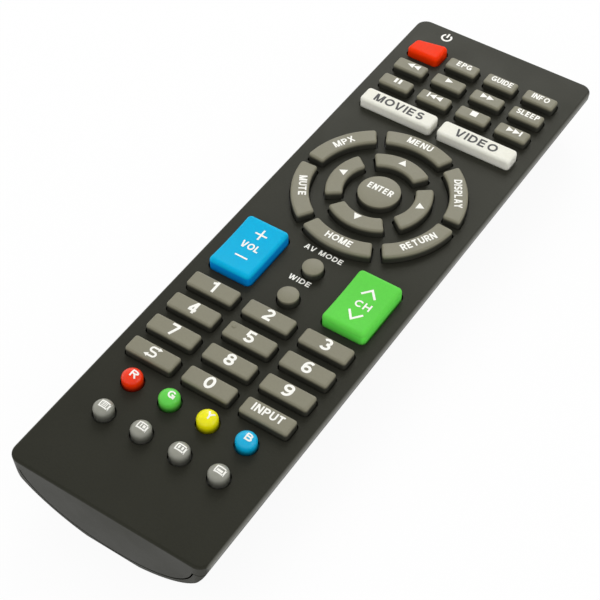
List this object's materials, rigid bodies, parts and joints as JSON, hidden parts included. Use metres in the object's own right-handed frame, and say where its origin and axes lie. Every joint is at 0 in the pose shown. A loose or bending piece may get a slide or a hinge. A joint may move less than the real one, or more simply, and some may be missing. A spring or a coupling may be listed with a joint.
{
  "type": "tv remote control",
  "caption": "Slim infrared television remote with a flat key face, rounded back, crescent end, sprung rubber keys, two rockers and a hinged battery door.",
  "frame": {"origin": "centre of the footprint, at the flat on the back that the remote lies on", "axes": "+X to the right of someone reading the keys, +Y along the body towards the infrared lamp, +Z out of the key face"},
  "size_m": [0.051, 0.17, 0.0199],
  "materials": {
    "case_plastic": "fine satin moulding texture",
    "grey_silicone": "matt coated silicone",
    "white_silicone": "matt coated silicone",
    "red_silicone": "matt coated silicone",
    "green_silicone": "matt coated silicone",
    "yellow_silicone": "matt coated silicone",
    "blue_silicone": "matt coated silicone",
    "dark_silicone": "matt",
    "board_laminate": "satin solder mask",
    "lamp_epoxy": "clear gloss",
    "chip_epoxy": "matt",
    "cell_jacket": "printed film",
    "contact_steel": "nickel plated",
    "screw_steel": "plain"
  },
  "bodies": {
    "case": {"front_cover": "case_plastic", "back_shell": "case_plastic", "keypad_mat": "dark_silicone", "circuit_board": "board_laminate", "ir_lamp": "lamp_epoxy", "controller_chip": "chip_epoxy", "battery_cells": "cell_jacket", "battery_bridge": "contact_steel", "battery_terminals": "contact_steel", "case_screws": "screw_steel"},
    "door": {"battery_door": "case_plastic"},
    "epg_key_body": {"epg_key": "grey_silicone"},
    "guide_key_body": {"guide_key": "grey_silicone"},
    "info_key_body": {"info_key": "grey_silicone"},
    "rewind_key_body": {"rewind_key": "grey_silicone"},
    "play_key_body": {"play_key": "grey_silicone"},
    "forward_key_body": {"forward_key": "grey_silicone"},
    "sleep_key_body": {"sleep_key": "grey_silicone"},
    "pause_key_body": {"pause_key": "grey_silicone"},
    "previous_key_body": {"previous_key": "grey_silicone"},
    "stop_key_body": {"stop_key": "grey_silicone"},
    "next_key_body": {"next_key": "grey_silicone"},
    "mpx_key_body": {"mpx_key": "grey_silicone"},
    "menu_key_body": {"menu_key": "grey_silicone"},
    "display_key_body": {"display_key": "grey_silicone"},
    "return_key_body": {"return_key": "grey_silicone"},
    "home_key_body": {"home_key": "grey_silicone"},
    "mute_key_body": {"mute_key": "grey_silicone"},
    "up_key_body": {"up_key": "grey_silicone"},
    "right_key_body": {"right_key": "grey_silicone"},
    "down_key_body": {"down_key": "grey_silicone"},
    "left_key_body": {"left_key": "grey_silicone"},
    "enter_key_body": {"enter_key": "grey_silicone"},
    "av_mode_key_body": {"av_mode_key": "grey_silicone"},
    "wide_key_body": {"wide_key": "grey_silicone"},
    "key_1_body": {"key_1": "grey_silicone"},
    "key_2_body": {"key_2": "grey_silicone"},
    "key_3_body": {"key_3": "grey_silicone"},
    "key_4_body": {"key_4": "grey_silicone"},
    "key_5_body": {"key_5": "grey_silicone"},
    "key_6_body": {"key_6": "grey_silicone"},
    "key_7_body": {"key_7": "grey_silicone"},
    "key_8_body": {"key_8": "grey_silicone"},
    "key_9_body": {"key_9": "grey_silicone"},
    "swap_key_body": {"swap_key": "grey_silicone"},
    "key_0_body": {"key_0": "grey_silicone"},
    "input_key_body": {"input_key": "grey_silicone"},
    "text_key_body": {"text_key": "grey_silicone"},
    "size_key_body": {"size_key": "grey_silicone"},
    "hold_key_body": {"hold_key": "grey_silicone"},
    "caption_key_body": {"caption_key": "grey_silicone"},
    "power_key_body": {"power_key": "red_silicone"},
    "red_key_body": {"red_key": "red_silicone"},
    "green_key_body": {"green_key": "green_silicone"},
    "channel_rocker_body": {"channel_rocker": "green_silicone"},
    "yellow_key_body": {"yellow_key": "yellow_silicone"},
    "blue_key_body": {"blue_key": "blue_silicone"},
    "volume_rocker_body": {"volume_rocker": "blue_silicone"},
    "app_key_left_body": {"app_key_left": "white_silicone"},
    "app_key_right_body": {"app_key_right": "white_silicone"}
  },
  "joints": [
    {"name": "door_hinge", "type": "hinge", "parent": "case", "child": "door", "pos_m": [0, -0.0773, 0.0007], "axis": [-1, 0, 0], "range_deg": [0, 75]},
    {"name": "epg_key_press", "type": "slide", "parent": "case", "child": "epg_key_body", "axis": [0, 0, -1], "range_m": [0, 0.0007], "stiffness_N_per_m": 600, "springref_m": -0.001},
    {"name": "guide_key_press", "type": "slide", "parent": "case", "child": "guide_key_body", "axis": [0, 0, -1], "range_m": [0, 0.0007], "stiffness_N_per_m": 600, "springref_m": -0.001},
    {"name": "info_key_press", "type": "slide", "parent": "case", "child": "info_key_body", "axis": [0, 0, -1], "range_m": [0, 0.0007], "stiffness_N_per_m": 600, "springref_m": -0.001},
    {"name": "rewind_key_press", "type": "slide", "parent": "case", "child": "rewind_key_body", "axis": [0, 0, -1], "range_m": [0, 0.0007], "stiffness_N_per_m": 600, "springref_m": -0.001},
    {"name": "play_key_press", "type": "slide", "parent": "case", "child": "play_key_body", "axis": [0, 0, -1], "range_m": [0, 0.0007], "stiffness_N_per_m": 600, "springref_m": -0.001},
    {"name": "forward_key_press", "type": "slide", "parent": "case", "child": "forward_key_body", "axis": [0, 0, -1], "range_m": [0, 0.0007], "stiffness_N_per_m": 600, "springref_m": -0.001},
    {"name": "sleep_key_press", "type": "slide", "parent": "case", "child": "sleep_key_body", "axis": [0, 0, -1], "range_m": [0, 0.0007], "stiffness_N_per_m": 600, "springref_m": -0.001},
    {"name": "pause_key_press", "type": "slide", "parent": "case", "child": "pause_key_body", "axis": [0, 0, -1], "range_m": [0, 0.0007], "stiffness_N_per_m": 600, "springref_m": -0.001},
    {"name": "previous_key_press", "type": "slide", "parent": "case", "child": "previous_key_body", "axis": [0, 0, -1], "range_m": [0, 0.0007], "stiffness_N_per_m": 600, "springref_m": -0.001},
    {"name": "stop_key_press", "type": "slide", "parent": "case", "child": "stop_key_body", "axis": [0, 0, -1], "range_m": [0, 0.0007], "stiffness_N_per_m": 600, "springref_m": -0.001},
    {"name": "next_key_press", "type": "slide", "parent": "case", "child": "next_key_body", "axis": [0, 0, -1], "range_m": [0, 0.0007], "stiffness_N_per_m": 600, "springref_m": -0.001},
    {"name": "mpx_key_press", "type": "slide", "parent": "case", "child": "mpx_key_body", "axis": [0, 0, -1], "range_m": [0, 0.0007], "stiffness_N_per_m": 600, "springref_m": -0.001},
    {"name": "menu_key_press", "type": "slide", "parent": "case", "child": "menu_key_body", "axis": [0, 0, -1], "range_m": [0, 0.0007], "stiffness_N_per_m": 600, "springref_m": -0.001},
    {"name": "display_key_press", "type": "slide", "parent": "case", "child": "display_key_body", "axis": [0, 0, -1], "range_m": [0, 0.0007], "stiffness_N_per_m": 600, "springref_m": -0.001},
    {"name": "return_key_press", "type": "slide", "parent": "case", "child": "return_key_body", "axis": [0, 0, -1], "range_m": [0, 0.0007], "stiffness_N_per_m": 600, "springref_m": -0.001},
    {"name": "home_key_press", "type": "slide", "parent": "case", "child": "home_key_body", "axis": [0, 0, -1], "range_m": [0, 0.0007], "stiffness_N_per_m": 600, "springref_m": -0.001},
    {"name": "mute_key_press", "type": "slide", "parent": "case", "child": "mute_key_body", "axis": [0, 0, -1], "range_m": [0, 0.0007], "stiffness_N_per_m": 600, "springref_m": -0.001},
    {"name": "up_key_press", "type": "slide", "parent": "case", "child": "up_key_body", "axis": [0, 0, -1], "range_m": [0, 0.0007], "stiffness_N_per_m": 600, "springref_m": -0.001},
    {"name": "right_key_press", "type": "slide", "parent": "case", "child": "right_key_body", "axis": [0, 0, -1], "range_m": [0, 0.0007], "stiffness_N_per_m": 600, "springref_m": -0.001},
    {"name": "down_key_press", "type": "slide", "parent": "case", "child": "down_key_body", "axis": [0, 0, -1], "range_m": [0, 0.0007], "stiffness_N_per_m": 600, "springref_m": -0.001},
    {"name": "left_key_press", "type": "slide", "parent": "case", "child": "left_key_body", "axis": [0, 0, -1], "range_m": [0, 0.0007], "stiffness_N_per_m": 600, "springref_m": -0.001},
    {"name": "enter_key_press", "type": "slide", "parent": "case", "child": "enter_key_body", "axis": [0, 0, -1], "range_m": [0, 0.0007], "stiffness_N_per_m": 600, "springref_m": -0.001},
    {"name": "av_mode_key_press", "type": "slide", "parent": "case", "child": "av_mode_key_body", "axis": [0, 0, -1], "range_m": [0, 0.0007], "stiffness_N_per_m": 600, "springref_m": -0.001},
    {"name": "wide_key_press", "type": "slide", "parent": "case", "child": "wide_key_body", "axis": [0, 0, -1], "range_m": [0, 0.0007], "stiffness_N_per_m": 600, "springref_m": -0.001},
    {"name": "key_1_press", "type": "slide", "parent": "case", "child": "key_1_body", "axis": [0, 0, -1], "range_m": [0, 0.0007], "stiffness_N_per_m": 600, "springref_m": -0.001},
    {"name": "key_2_press", "type": "slide", "parent": "case", "child": "key_2_body", "axis": [0, 0, -1], "range_m": [0, 0.0007], "stiffness_N_per_m": 600, "springref_m": -0.001},
    {"name": "key_3_press", "type": "slide", "parent": "case", "child": "key_3_body", "axis": [0, 0, -1], "range_m": [0, 0.0007], "stiffness_N_per_m": 600, "springref_m": -0.001},
    {"name": "key_4_press", "type": "slide", "parent": "case", "child": "key_4_body", "axis": [0, 0, -1], "range_m": [0, 0.0007], "stiffness_N_per_m": 600, "springref_m": -0.001},
    {"name": "key_5_press", "type": "slide", "parent": "case", "child": "key_5_body", "axis": [0, 0, -1], "range_m": [0, 0.0007], "stiffness_N_per_m": 600, "springref_m": -0.001},
    {"name": "key_6_press", "type": "slide", "parent": "case", "child": "key_6_body", "axis": [0, 0, -1], "range_m": [0, 0.0007], "stiffness_N_per_m": 600, "springref_m": -0.001},
    {"name": "key_7_press", "type": "slide", "parent": "case", "child": "key_7_body", "axis": [0, 0, -1], "range_m": [0, 0.0007], "stiffness_N_per_m": 600, "springref_m": -0.001},
    {"name": "key_8_press", "type": "slide", "parent": "case", "child": "key_8_body", "axis": [0, 0, -1], "range_m": [0, 0.0007], "stiffness_N_per_m": 600, "springref_m": -0.001},
    {"name": "key_9_press", "type": "slide", "parent": "case", "child": "key_9_body", "axis": [0, 0, -1], "range_m": [0, 0.0007], "stiffness_N_per_m": 600, "springref_m": -0.001},
    {"name": "swap_key_press", "type": "slide", "parent": "case", "child": "swap_key_body", "axis": [0, 0, -1], "range_m": [0, 0.0007], "stiffness_N_per_m": 600, "springref_m": -0.001},
    {"name": "key_0_press", "type": "slide", "parent": "case", "child": "key_0_body", "axis": [0, 0, -1], "range_m": [0, 0.0007], "stiffness_N_per_m": 600, "springref_m": -0.001},
    {"name": "input_key_press", "type": "slide", "parent": "case", "child": "input_key_body", "axis": [0, 0, -1], "range_m": [0, 0.0007], "stiffness_N_per_m": 600, "springref_m": -0.001},
    {"name": "text_key_press", "type": "slide", "parent": "case", "child": "text_key_body", "axis": [0, 0, -1], "range_m": [0, 0.0007], "stiffness_N_per_m": 600, "springref_m": -0.001},
    {"name": "size_key_press", "type": "slide", "parent": "case", "child": "size_key_body", "axis": [0, 0, -1], "range_m": [0, 0.0007], "stiffness_N_per_m": 600, "springref_m": -0.001},
    {"name": "hold_key_press", "type": "slide", "parent": "case", "child": "hold_key_body", "axis": [0, 0, -1], "range_m": [0, 0.0007], "stiffness_N_per_m": 600, "springref_m": -0.001},
    {"name": "caption_key_press", "type": "slide", "parent": "case", "child": "caption_key_body", "axis": [0, 0, -1], "range_m": [0, 0.0007], "stiffness_N_per_m": 600, "springref_m": -0.001},
    {"name": "power_key_press", "type": "slide", "parent": "case", "child": "power_key_body", "axis": [0, 0, -1], "range_m": [0, 0.0007], "stiffness_N_per_m": 600, "springref_m": -0.001},
    {"name": "red_key_press", "type": "slide", "parent": "case", "child": "red_key_body", "axis": [0, 0, -1], "range_m": [0, 0.0007], "stiffness_N_per_m": 600, "springref_m": -0.001},
    {"name": "green_key_press", "type": "slide", "parent": "case", "child": "green_key_body", "axis": [0, 0, -1], "range_m": [0, 0.0007], "stiffness_N_per_m": 600, "springref_m": -0.001},
    {"name": "channel_rocker_rock", "type": "hinge", "parent": "case", "child": "channel_rocker_body", "pos_m": [0.0154, -0.0106, 0.01455], "axis": [1, 0, 0], "range_deg": [-2.5, 2.5], "stiffness_Nm_per_rad": 0.4},
    {"name": "yellow_key_press", "type": "slide", "parent": "case", "child": "yellow_key_body", "axis": [0, 0, -1], "range_m": [0, 0.0007], "stiffness_N_per_m": 600, "springref_m": -0.001},
    {"name": "blue_key_press", "type": "slide", "parent": "case", "child": "blue_key_body", "axis": [0, 0, -1], "range_m": [0, 0.0007], "stiffness_N_per_m": 600, "springref_m": -0.001},
    {"name": "volume_rocker_rock", "type": "hinge", "parent": "case", "child": "volume_rocker_body", "pos_m": [-0.0154, -0.0106, 0.01455], "axis": [1, 0, 0], "range_deg": [-2.5, 2.5], "stiffness_Nm_per_rad": 0.4},
    {"name": "app_key_left_press", "type": "slide", "parent": "case", "child": "app_key_left_body", "axis": [0, 0, -1], "range_m": [0, 0.0007], "stiffness_N_per_m": 600, "springref_m": -0.001},
    {"name": "app_key_right_press", "type": "slide", "parent": "case", "child": "app_key_right_body", "axis": [0, 0, -1], "range_m": [0, 0.0007], "stiffness_N_per_m": 600, "springref_m": -0.001}
  ]
}
